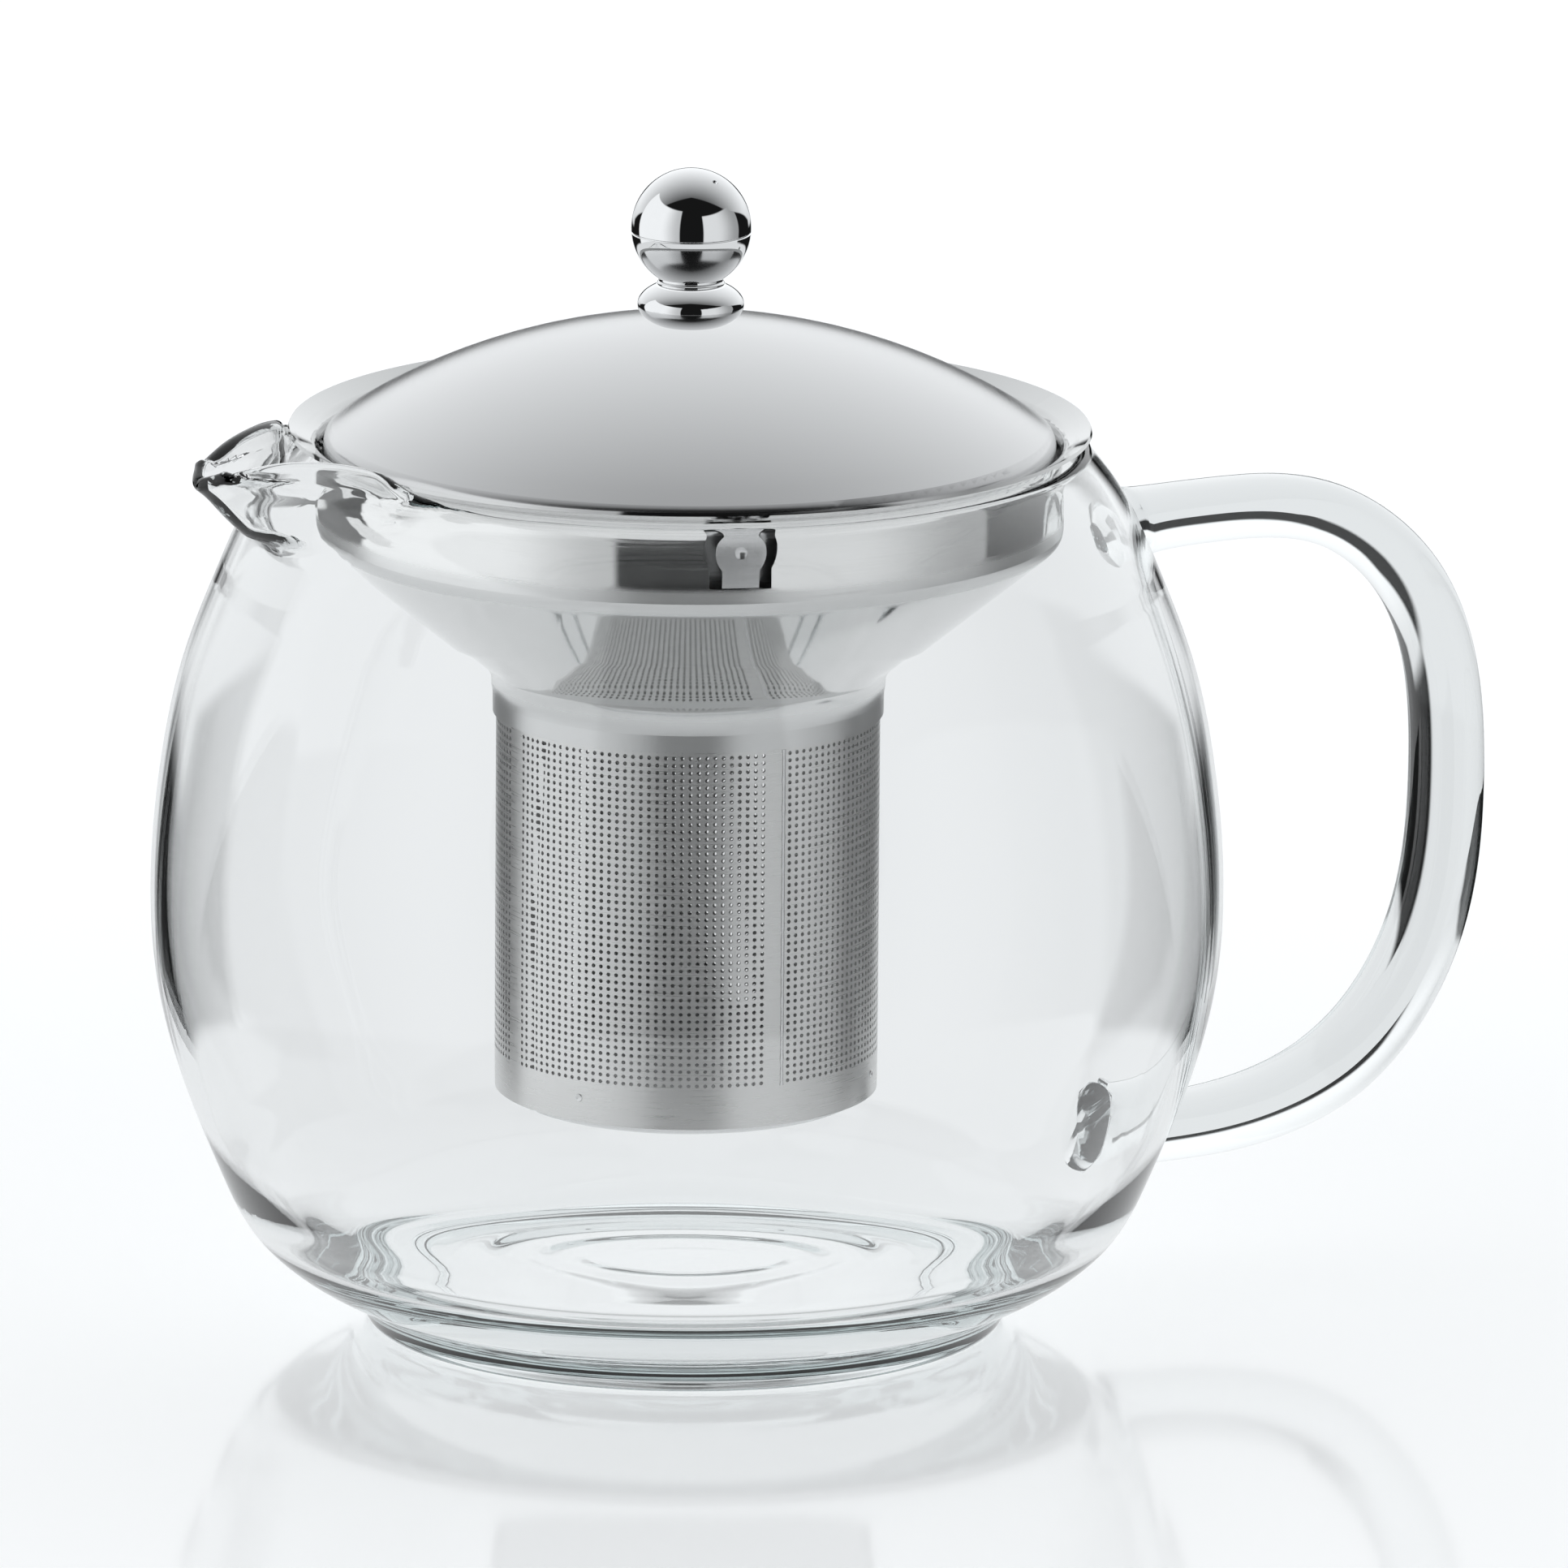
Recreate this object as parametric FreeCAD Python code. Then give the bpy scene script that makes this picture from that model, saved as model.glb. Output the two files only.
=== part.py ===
import FreeCAD, Part

import math
import os

# Glass teapot with a drop-in steel infuser and a domed lid. Millimetres.
# Origin: on the pot's axis, in the plane it stands on. +Z up, handle towards +X, spout towards -X.

# Driving dimensions: glass pot
BODY_MAX_R = 75.1
WALL = 2.3
RIM_TOP = 125.7
RIM_ROUND = 0.9
NECK_R = 55.6
NECK_FOOT_Z = 123.9
MOUTH_R = 52.9
MOUTH_FOOT_Z = 122.8
FOOT_INNER_R = 39.0
FOOT_FLAT_R = 43.3
FLOOR_Z = 7.8
UNDERSIDE_Z = 2.6
HANDLE_THICK = 9.4
HANDLE_WIDTH = 11.4
ABOVE_POT = 150.0

# Driving dimensions: infuser
SHEET = 0.5
FLANGE_R = 56.0
FLANGE_GAP = 0.6
FLANGE_TOP = 127.8
FLANGE_BEND_R = 52.62
FLANGE_FALL = 1.9
COLLAR_FALL = 3.6
COLLAR_R = 52.0
COLLAR_BOTTOM = 112.8
SKIRT_R = 27.35
SKIRT_TOP = 92.4
SKIRT_BOTTOM = 87.2
FUNNEL_BENDS = [1.6, 3.0, 2.2, 6.0]
SLEEVE_R = 26.85
SLEEVE_SHEET = 0.35
SLEEVE_BOTTOM = 33.2
SLEEVE_TOP = 91.0
BASE_BOTTOM = 31.9
BASE_WALL_TOP = 38.5
BASE_BEND = 2.6

# Driving dimensions: spring tabs cut in the collar
TAB_ANGLES = (-106.0, 14.0, 134.0)
PRISM_REACH = 3.0
KEYHOLE_R = 5.05
KEYHOLE_Z = 121.4
KEYHOLE_TOP = 124.6
KEYHOLE_BOTTOM = 115.9
SLOT_HALF_WIDTH = 4.26
TAB_HEAD_R = 3.5
TAB_HEAD_Z = 120.9
TAB_SHANK_HALF = 2.55
TAB_ROOT_GAP = 0.2
TAB_SPRUNG_DEG = 3.5
DIMPLE_R = 1.6
DIMPLE_DEPTH = 0.25

# Driving dimensions: lid and knob
LID_APEX = 142.6
LID_DOME_R = 90.0
LID_SHEET = 0.6
LID_R = 51.1
LID_ROLL_R = 2.5
LID_EDGE_BOTTOM = 124.2
LID_RING_R = 48.6
LID_RING_BOTTOM = 111.3
BALL_R = 8.4
BALL_Z = 156.0
BALL_SHEET = 0.6
BALL_SEAM_Z = 155.5
SEAM_GROOVE_R = 0.17
BUN_R = 7.45
BUN_HALF_HEIGHT = 3.6
BUN_Z = 145.2
NECK_TOP = 149.1
NECK_BOTTOM = 147.9
NECK_WAIST_R = 4.45
LOWER_BEAD_R = 4.7
UPPER_BEAD_R = 4.55
VENT_R = 0.42
VENT_POLAR_DEG = -66.0
VENT_RISE_DEG = 58.0

# Driving dimensions: the knob's screw, its washer and the boss inside the ball
SCREW_R = 2.0
SCREW_GAP = 0.05
SCREW_HOLE_GAP = 0.2
SCREW_END = 152.5
HEAD_R = 3.7
HEAD_HEIGHT = 2.2
HEAD_RIM = 0.7
HEAD_SHOULDER = (3.1, 1.9)
HEAD_FLAT_R = 1.8
SHANK_OVERLAP = 0.5
SLOT_DEPTH = 1.1
SLOT_LENGTH = 4.0
SLOT_WIDTH = 0.8
WASHER_R = 5.0
WASHER_THICK = 0.8
BOSS_R = 3.6
BOSS_TOP = 154.0
BOSS_HOLE_TOP = 153.0

# How far a cutting tool reaches past the surface that it cuts
CUT_MARGIN = 1.0

UP = FreeCAD.Vector(0, 0, 1)
ORIGIN = FreeCAD.Vector(0, 0, 0)

# Outside of the glass from above the foot to the shoulder: radius, height
BODY_OUTLINE = [
    (48.2, 4.9), (56.6, 9.6), (61.2, 14.0), (65.4, 22.0), (70.6, 35.0), (74.2, 49.0),
    (BODY_MAX_R, 62.5), (73.8, 79.0), (70.6, 94.3), (65.7, 107.3), (61.8, 116.0), (58.9, 120.3),
]
# Foot ring, each pair two points of a round stretch: its inside, its outer heel and its waist
FOOT_INSIDE = [(36.0, 2.1), (38.2, 1.3)]
FOOT_HEEL = [(44.5, 0.5), (45.1, 1.6)]
FOOT_WAIST = [(45.6, 2.6), (46.5, 3.8)]
# Middle of the round between the shoulder and the short neck
NECK_BEND = (56.7, 122.1)
# Middle line of the handle: distance from the axis, height
HANDLE_POINTS = [
    (57.0, 107.2), (80.0, 109.1), (97.5, 107.3), (111.2, 96.6), (117.5, 68.0), (113.6, 43.8),
    (100.3, 26.9), (82.0, 20.8), (57.0, 20.9),
]
# Number of lowest outline points whose inside follows the pressed floor instead of the wall
FLOOR_POINTS = 3
# Inside of the pressed floor, from its flat middle to the foot of the wall: radius, height
FLOOR_OUTLINE = [(40.0, FLOOR_Z), (50.0, 10.9), (55.6, 12.7), (58.4, 14.8), (60.5, 18.2)]
# Upper edge of the glass beside the spout: distance from the middle of the spout, height
LIP_OUTLINE = [
    (0, 125.3), (4.5, 126.4), (9.5, 128.2), (14.5, 128.8), (21.0, 128.2), (28.0, 127.0), (37.0, RIM_TOP),
]


def at(radius, height):
    """A point in the half plane that is turned about the pot's axis."""
    return FreeCAD.Vector(radius, 0, height)


def line(start, end):
    return Part.LineSegment(at(*start), at(*end)).toShape()


def arc(start, middle, end):
    return Part.Arc(at(*start), at(*middle), at(*end)).toShape()


def curve(points):
    """A smooth curve through points given as radius, height."""
    spline = Part.BSplineCurve()
    spline.interpolate([at(*point) for point in points])
    return spline


def turned(edges):
    """A solid turned about the pot's axis from the closed outline that the edges make."""
    face = Part.Face(Part.Wire(edges))
    return face.revolve(ORIGIN, UP, 360)


def cylinder(radius, bottom, top):
    return Part.makeCylinder(radius, top - bottom, FreeCAD.Vector(0, 0, bottom), UP)


def tube(outer, inner, bottom, top):
    return cylinder(outer, bottom, top).cut(cylinder(inner, bottom - CUT_MARGIN, top + CUT_MARGIN))


def unit(start, end):
    length = math.hypot(end[0] - start[0], end[1] - start[1])
    return (end[0] - start[0]) / length, (end[1] - start[1]) / length


def offset_corners(points, distance):
    """The corners of a line of straight runs moved to its left by distance."""
    runs = [unit(a, b) for a, b in zip(points, points[1:])]
    moved = []
    for index, point in enumerate(points):
        before = runs[max(index - 1, 0)]
        after = runs[min(index, len(runs) - 1)]
        normal = (-before[1] - after[1], before[0] + after[0])
        scale = 2 * distance / (normal[0] ** 2 + normal[1] ** 2)
        moved.append((point[0] + scale * normal[0], point[1] + scale * normal[1]))
    return moved


def rounded_run(points, radii):
    """Edges along straight runs, each inner corner rounded by its radius."""
    edges = []
    here = points[0]
    for index in range(1, len(points) - 1):
        corner = points[index]
        back = unit(corner, points[index - 1])
        ahead = unit(corner, points[index + 1])
        half = math.acos(back[0] * ahead[0] + back[1] * ahead[1]) / 2
        radius = radii[index - 1]
        reach = radius / math.tan(half)
        start = (corner[0] + reach * back[0], corner[1] + reach * back[1])
        end = (corner[0] + reach * ahead[0], corner[1] + reach * ahead[1])
        middle_way = unit((0, 0), (back[0] + ahead[0], back[1] + ahead[1]))
        depth = radius / math.sin(half) - radius
        middle = (corner[0] + depth * middle_way[0], corner[1] + depth * middle_way[1])
        edges.append(line(here, start))
        edges.append(arc(start, middle, end))
        here = end
    edges.append(line(here, points[-1]))
    return edges


def turn_signs(points):
    """For each inner corner, +1 where the run turns left and -1 where it turns right."""
    signs = []
    for a, b, c in zip(points, points[1:], points[2:]):
        cross = (b[0] - a[0]) * (c[1] - b[1]) - (b[1] - a[1]) * (c[0] - b[0])
        signs.append(1 if cross > 0 else -1)
    return signs


def pressed_sheet(points, radii, thickness):
    """A turned sheet whose middle follows the points, with bends of the given middle radii."""
    half = thickness / 2
    signs = turn_signs(points)
    left = offset_corners(points, half)
    right = offset_corners(points, -half)
    left_radii = [r - sign * half for r, sign in zip(radii, signs)]
    right_radii = [r + sign * half for r, sign in zip(radii, signs)]
    edges = rounded_run(left, left_radii)
    edges.append(line(left[-1], right[-1]))
    edges += rounded_run(right, right_radii)
    edges.append(line(right[0], left[0]))
    return turned(Part.__sortEdges__(edges))


# ---------------------------------------------------------------- glass pot

def inside_points():
    """The outline moved inwards by the wall, for the points above the pressed floor."""
    outer = curve(BODY_OUTLINE)
    points = []
    for radius, height in BODY_OUTLINE[FLOOR_POINTS:]:
        along = outer.tangent(outer.parameter(at(radius, height)))[0]
        points.append((radius - WALL * along.z, height + WALL * along.x))
    return points


def round_middle(centre_r, side):
    """Middle of the quarter round between a wall and the flat top of the rim."""
    slant = RIM_ROUND * math.sqrt(0.5)
    return centre_r + side * slant, RIM_TOP - RIM_ROUND + slant


def pot_outside():
    """The pot's outer form, solid to the axis and open to no cavity."""
    shoulder = BODY_OUTLINE[-1]
    rim_edge = (NECK_R - RIM_ROUND, RIM_TOP)
    edges = [
        line((0, UNDERSIDE_Z), FOOT_INSIDE[0]),
        arc(*FOOT_INSIDE, (FOOT_INNER_R, 0)),
        line((FOOT_INNER_R, 0), (FOOT_FLAT_R, 0)),
        arc((FOOT_FLAT_R, 0), *FOOT_HEEL),
        line(FOOT_HEEL[-1], FOOT_WAIST[0]),
        arc(*FOOT_WAIST, BODY_OUTLINE[0]),
        curve(BODY_OUTLINE).toShape(),
        arc(shoulder, NECK_BEND, (NECK_R, NECK_FOOT_Z)),
        line((NECK_R, NECK_FOOT_Z), (NECK_R, RIM_TOP - RIM_ROUND)),
        arc((NECK_R, RIM_TOP - RIM_ROUND), round_middle(NECK_R - RIM_ROUND, 1), rim_edge),
        line(rim_edge, (0, RIM_TOP)),
        line((0, RIM_TOP), (0, UNDERSIDE_Z)),
    ]
    return turned(edges)


def pot_cavity(top):
    """The space inside the pot, up to a height above the rim."""
    wall = FLOOR_OUTLINE + inside_points() + [(MOUTH_R, MOUTH_FOOT_Z)]
    round_start = (MOUTH_R, RIM_TOP - RIM_ROUND)
    round_end = (MOUTH_R + RIM_ROUND, RIM_TOP)
    edges = [
        line((0, FLOOR_Z), FLOOR_OUTLINE[0]),
        curve(wall).toShape(),
        line(wall[-1], round_start),
        arc(round_start, round_middle(MOUTH_R + RIM_ROUND, -1), round_end),
        line(round_end, (round_end[0], top)),
        line((round_end[0], top), (0, top)),
        line((0, top), (0, FLOOR_Z)),
    ]
    return turned(edges)


def spout_section(height, reach, nose_r, base_r, base_deg):
    """Plan outline of the pinched spout at one height: a round nose with straight flanks."""
    centre = nose_r - reach
    base_x = -base_r * math.cos(math.radians(base_deg))
    base_y = base_r * math.sin(math.radians(base_deg))
    flank = math.atan2(base_y - nose_r, base_x - centre)
    nose_x = centre - nose_r * math.sin(flank)
    nose_y = nose_r * math.cos(flank)
    left = FreeCAD.Vector(nose_x, nose_y, height)
    right = FreeCAD.Vector(nose_x, -nose_y, height)
    tip = FreeCAD.Vector(-reach, 0, height)
    base_left = FreeCAD.Vector(base_x, base_y, height)
    base_right = FreeCAD.Vector(base_x, -base_y, height)
    return Part.Wire([
        Part.LineSegment(base_left, left).toShape(),
        Part.Arc(left, tip, right).toShape(),
        Part.LineSegment(right, base_right).toShape(),
        Part.LineSegment(base_right, base_left).toShape(),
    ])


# Height, reach from the axis, nose radius, and where the flanks meet the round body
SPOUT_OUTSIDE = [
    (111.0, 61.0, 3.0, 58.0, 12.0), (116.5, 62.6, 3.2, 58.0, 18.0), (119.5, 65.9, 3.6, 56.5, 27.0),
    (122.0, 69.4, 4.0, 55.0, 36.0), (124.6, 73.6, 4.4, 55.0, 42.0), (131.0, 75.5, 4.8, 55.0, 42.0),
]
SPOUT_RISE = 1.6
SPOUT_NOSE_CUT = 1.2
# Plane past the spout's tip from which the glass above its lip is cut away, and how far in
PAST_SPOUT_X = -90.0
SPOUT_CUT_DEPTH = 60.0


def spout_outside():
    return Part.makeLoft([spout_section(*row) for row in SPOUT_OUTSIDE], True, True)


def spout_channel():
    """The channel inside the spout, one wall in from its outside."""
    sections = []
    for height, reach, nose_r, base_r, base_deg in SPOUT_OUTSIDE:
        row = (height + SPOUT_RISE, reach - WALL, nose_r - SPOUT_NOSE_CUT, base_r - WALL, base_deg)
        sections.append(spout_section(*row))
    return Part.makeLoft(sections, True, True)


def above_lip():
    """What lies above the poured edge: the lip dips at its tip and lifts at both sides of it."""
    points = [FreeCAD.Vector(PAST_SPOUT_X, -y, z) for y, z in reversed(LIP_OUTLINE[1:])]
    points += [FreeCAD.Vector(PAST_SPOUT_X, y, z) for y, z in LIP_OUTLINE]
    lip = Part.BSplineCurve()
    lip.interpolate(points)
    corner_a = FreeCAD.Vector(PAST_SPOUT_X, points[-1].y, ABOVE_POT)
    corner_b = FreeCAD.Vector(PAST_SPOUT_X, points[0].y, ABOVE_POT)
    wire = Part.Wire([
        lip.toShape(),
        Part.LineSegment(points[-1], corner_a).toShape(),
        Part.LineSegment(corner_a, corner_b).toShape(),
        Part.LineSegment(corner_b, points[0]).toShape(),
    ])
    return Part.Face(wire).extrude(FreeCAD.Vector(SPOUT_CUT_DEPTH, 0, 0))


def glass_body(outside):
    """Blown body with its foot ring, short neck and pinched spout."""
    spout_shell = spout_outside().cut(above_lip())
    cavity = pot_cavity(ABOVE_POT).fuse(spout_channel())
    flange_room = cylinder(FLANGE_R + FLANGE_GAP, RIM_TOP, ABOVE_POT)
    body = outside.fuse(spout_shell).cut(cavity).cut(flange_room)
    return body.removeSplitter()


def handle_path():
    """Middle of the ear-shaped handle, from the shoulder round to the lower wall."""
    return Part.Wire([curve(HANDLE_POINTS).toShape()])


def glass_handle(outside):
    """Solid oval glass rod, fused to the body's wall at both ends."""
    path = handle_path()
    along = path.Edges[0].tangentAt(path.Edges[0].FirstParameter)
    section = Part.Ellipse(ORIGIN, HANDLE_WIDTH / 2, HANDLE_THICK / 2).toShape()
    section.rotate(ORIGIN, UP, 90)
    section.rotate(ORIGIN, FreeCAD.Vector(0, 1, 0), 90)
    lean = math.degrees(math.atan2(along.z, along.x))
    section.rotate(ORIGIN, FreeCAD.Vector(0, 1, 0), -lean)
    section.translate(at(*HANDLE_POINTS[0]))
    rod = path.makePipeShell([Part.Wire([section])], True, False)
    return rod.cut(outside)


# ---------------------------------------------------------------- infuser

def polar(radius, degrees, height=0.0):
    angle = math.radians(degrees)
    return FreeCAD.Vector(radius * math.cos(angle), radius * math.sin(angle), height)


def standing_prism(outline, degrees):
    """A flat outline in the tangent plane, pushed out through the collar at an angle."""
    face = Part.Face(Part.Wire(outline))
    solid = face.extrude(FreeCAD.Vector(2 * PRISM_REACH, 0, 0))
    solid.translate(FreeCAD.Vector(COLLAR_R - PRISM_REACH, 0, 0))
    solid.rotate(ORIGIN, UP, degrees)
    return solid


def lollipop(head_r, head_z, half_width, bottom):
    """Outline of a round head on a straight shank that ends at bottom."""
    drop = math.sqrt(head_r ** 2 - half_width ** 2)
    low_left = FreeCAD.Vector(0, -half_width, bottom)
    low_right = FreeCAD.Vector(0, half_width, bottom)
    join_left = FreeCAD.Vector(0, -half_width, head_z - drop)
    join_right = FreeCAD.Vector(0, half_width, head_z - drop)
    crown = FreeCAD.Vector(0, 0, head_z + head_r)
    return [
        Part.LineSegment(low_left, low_right).toShape(),
        Part.LineSegment(low_right, join_right).toShape(),
        Part.Arc(join_right, crown, join_left).toShape(),
        Part.LineSegment(join_left, low_left).toShape(),
    ]


def keyhole(degrees):
    """The opening in the collar round one spring tab, flattened under the flange."""
    outline = lollipop(KEYHOLE_R, KEYHOLE_Z, SLOT_HALF_WIDTH, KEYHOLE_BOTTOM)
    opening = standing_prism(outline, degrees)
    return opening.common(cylinder(COLLAR_R + PRISM_REACH, KEYHOLE_BOTTOM - CUT_MARGIN, KEYHOLE_TOP))


def infuser_funnel():
    """Deep-drawn flange, collar, funnel and neck, with three keyhole openings."""
    middle = COLLAR_R - SHEET / 2
    neck = SKIRT_R - SHEET / 2
    points = [
        (FLANGE_R, FLANGE_TOP - SHEET / 2), (FLANGE_BEND_R, FLANGE_TOP - FLANGE_FALL),
        (middle, FLANGE_TOP - COLLAR_FALL),
        (middle, COLLAR_BOTTOM), (neck, SKIRT_TOP), (neck, SKIRT_BOTTOM),
    ]
    sheet = pressed_sheet(points, FUNNEL_BENDS, SHEET)
    for degrees in TAB_ANGLES:
        sheet = sheet.cut(keyhole(degrees))
    return sheet


def spring_tab(degrees):
    """One tongue of the collar, bent slightly outwards about its root, with a pressed dimple."""
    root = KEYHOLE_BOTTOM + TAB_ROOT_GAP
    blank = standing_prism(lollipop(TAB_HEAD_R, TAB_HEAD_Z, TAB_SHANK_HALF, root), 0)
    tab = blank.common(tube(COLLAR_R, COLLAR_R - SHEET, root - CUT_MARGIN, KEYHOLE_TOP + CUT_MARGIN))
    dimple_out = COLLAR_R + DIMPLE_R - DIMPLE_DEPTH
    dimple = Part.makeSphere(DIMPLE_R, FreeCAD.Vector(dimple_out, 0, TAB_HEAD_Z))
    tab = tab.cut(dimple)
    hinge = FreeCAD.Vector(COLLAR_R - SHEET / 2, 0, KEYHOLE_BOTTOM)
    tab.rotate(hinge, FreeCAD.Vector(0, 1, 0), TAB_SPRUNG_DEG)
    tab.rotate(ORIGIN, UP, degrees)
    return tab


def perforated_sleeve():
    """Rolled sleeve that holds the leaves; its fine holes are left out of the solid."""
    return tube(SLEEVE_R, SLEEVE_R - SLEEVE_SHEET, SLEEVE_BOTTOM, SLEEVE_TOP)


def sleeve_base():
    """Pressed cup that closes the sleeve's lower end."""
    outer = SLEEVE_R - SLEEVE_SHEET - SHEET / 2
    floor = BASE_BOTTOM + SHEET / 2
    points = [(0, floor), (outer, floor), (outer, BASE_WALL_TOP)]
    return pressed_sheet(points, [BASE_BEND], SHEET)


# ---------------------------------------------------------------- lid

def dome_solid(inset):
    """The ball whose cap is the lid's dome, made smaller by inset."""
    centre = FreeCAD.Vector(0, 0, LID_APEX - LID_DOME_R)
    return Part.makeSphere(LID_DOME_R - inset, centre)


def dome_height(radius, inset):
    return LID_APEX - LID_DOME_R + math.sqrt((LID_DOME_R - inset) ** 2 - radius ** 2)


def lid_dome():
    """Spun dome with a rolled edge and a short turned-down rim."""
    roll_centre_r = LID_R - LID_ROLL_R
    distance = LID_DOME_R - LID_ROLL_R
    roll_centre_z = LID_APEX - LID_DOME_R + math.sqrt(distance ** 2 - roll_centre_r ** 2)
    lean = math.asin(roll_centre_r / distance)
    half_lean = (lean + math.pi / 2) / 2

    def roll_point(radius, angle):
        return roll_centre_r + radius * math.sin(angle), roll_centre_z + radius * math.cos(angle)

    inner_roll = LID_ROLL_R - LID_SHEET
    outer_start = roll_point(LID_ROLL_R, lean)
    inner_start = roll_point(inner_roll, lean)
    outer_mid_r = outer_start[0] / 2
    edges = [
        arc((0, LID_APEX), (outer_mid_r, dome_height(outer_mid_r, 0)), outer_start),
        arc(outer_start, roll_point(LID_ROLL_R, half_lean), (LID_R, roll_centre_z)),
        line((LID_R, roll_centre_z), (LID_R, LID_EDGE_BOTTOM)),
        line((LID_R, LID_EDGE_BOTTOM), (LID_R - LID_SHEET, LID_EDGE_BOTTOM)),
        line((LID_R - LID_SHEET, LID_EDGE_BOTTOM), (LID_R - LID_SHEET, roll_centre_z)),
        arc((LID_R - LID_SHEET, roll_centre_z), roll_point(inner_roll, half_lean), inner_start),
        arc(inner_start, (outer_mid_r, dome_height(outer_mid_r, LID_SHEET)), (0, LID_APEX - LID_SHEET)),
        line((0, LID_APEX - LID_SHEET), (0, LID_APEX)),
    ]
    return turned(edges).cut(cylinder(SCREW_R + SCREW_HOLE_GAP, LID_EDGE_BOTTOM, BALL_Z))


def lid_locating_ring():
    """Ring under the dome that stands on the funnel and keeps the lid in the middle."""
    ring = tube(LID_RING_R, LID_RING_R - SHEET, LID_RING_BOTTOM, LID_APEX)
    return ring.common(dome_solid(LID_SHEET))


def knob_foot():
    """Bun-shaped foot of the knob, seated on the dome."""
    bun = Part.makeSphere(1.0)
    stretch = FreeCAD.Matrix()
    stretch.scale(BUN_R, BUN_R, BUN_HALF_HEIGHT)
    bun = bun.transformGeometry(stretch)
    bun.translate(FreeCAD.Vector(0, 0, BUN_Z))
    bun = bun.common(cylinder(BUN_R + CUT_MARGIN, BUN_Z - BUN_HALF_HEIGHT, NECK_BOTTOM))
    return bun.cut(dome_solid(0)).cut(cylinder(SCREW_R + SCREW_GAP, LID_EDGE_BOTTOM, BALL_Z))


def knob_neck():
    """Two turned beads between the foot and the ball."""
    bore = SCREW_R + SCREW_GAP
    middle = (NECK_TOP + NECK_BOTTOM) / 2
    lower_bead = (LOWER_BEAD_R, (NECK_BOTTOM + middle) / 2)
    upper_bead = (UPPER_BEAD_R, (NECK_TOP + middle) / 2)
    edges = [
        line((bore, NECK_BOTTOM), (NECK_WAIST_R, NECK_BOTTOM)),
        arc((NECK_WAIST_R, NECK_BOTTOM), lower_bead, (NECK_WAIST_R, middle)),
        arc((NECK_WAIST_R, middle), upper_bead, (NECK_WAIST_R, NECK_TOP)),
        line((NECK_WAIST_R, NECK_TOP), (bore, NECK_TOP)),
        line((bore, NECK_TOP), (bore, NECK_BOTTOM)),
    ]
    return turned(edges)


def ball_shell():
    centre = FreeCAD.Vector(0, 0, BALL_Z)
    return Part.makeSphere(BALL_R, centre).cut(Part.makeSphere(BALL_R - BALL_SHEET, centre))


def seam_groove():
    """Fine groove where the two half shells of the ball meet."""
    edge_r = math.sqrt(BALL_R ** 2 - (BALL_Z - BALL_SEAM_Z) ** 2)
    return Part.makeTorus(edge_r, SEAM_GROOVE_R, FreeCAD.Vector(0, 0, BALL_SEAM_Z), UP)


def knob_lower_shell():
    lower = ball_shell().common(cylinder(BALL_R + CUT_MARGIN, NECK_TOP, BALL_SEAM_Z))
    return lower.cut(seam_groove())


def knob_upper_shell():
    """Upper half shell, with the small vent left from closing the ball."""
    upper = ball_shell().common(cylinder(BALL_R + CUT_MARGIN, BALL_SEAM_Z, BALL_Z + BALL_R + CUT_MARGIN))
    rise = math.radians(VENT_RISE_DEG)
    flat = polar(math.cos(rise), VENT_POLAR_DEG)
    way = FreeCAD.Vector(flat.x, flat.y, math.sin(rise))
    vent = Part.makeCylinder(VENT_R, BALL_R + CUT_MARGIN, FreeCAD.Vector(0, 0, BALL_Z), way)
    return upper.cut(seam_groove()).cut(vent)


def knob_insert():
    """Threaded boss inside the ball that the lid screw pulls against."""
    boss = cylinder(BOSS_R, NECK_TOP, BOSS_TOP)
    inside = Part.makeSphere(BALL_R - BALL_SHEET, FreeCAD.Vector(0, 0, BALL_Z))
    return boss.common(inside).cut(cylinder(SCREW_R, NECK_TOP - CUT_MARGIN, BOSS_HOLE_TOP))


def lid_washer():
    top = dome_height(WASHER_R, LID_SHEET)
    return tube(WASHER_R, SCREW_R + SCREW_HOLE_GAP, top - WASHER_THICK, top)


def lid_screw():
    """Pan-head screw from under the lid, with a cross slot."""
    seat = dome_height(WASHER_R, LID_SHEET) - WASHER_THICK
    low = seat - HEAD_HEIGHT
    rim = (HEAD_R, seat - HEAD_RIM)
    head = turned([
        line((0, seat), (HEAD_R, seat)),
        line((HEAD_R, seat), rim),
        arc(rim, (HEAD_SHOULDER[0], seat - HEAD_SHOULDER[1]), (HEAD_FLAT_R, low)),
        line((HEAD_FLAT_R, low), (0, low)),
        line((0, low), (0, seat)),
    ])
    for turn in (0, 90):
        corner = FreeCAD.Vector(-SLOT_LENGTH / 2, -SLOT_WIDTH / 2, low)
        blade = Part.makeBox(SLOT_LENGTH, SLOT_WIDTH, SLOT_DEPTH, corner)
        blade.rotate(ORIGIN, UP, turn)
        head = head.cut(blade)
    return head.fuse(cylinder(SCREW_R, seat - SHANK_OVERLAP, SCREW_END))


# ---------------------------------------------------------------- write the parts

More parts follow.
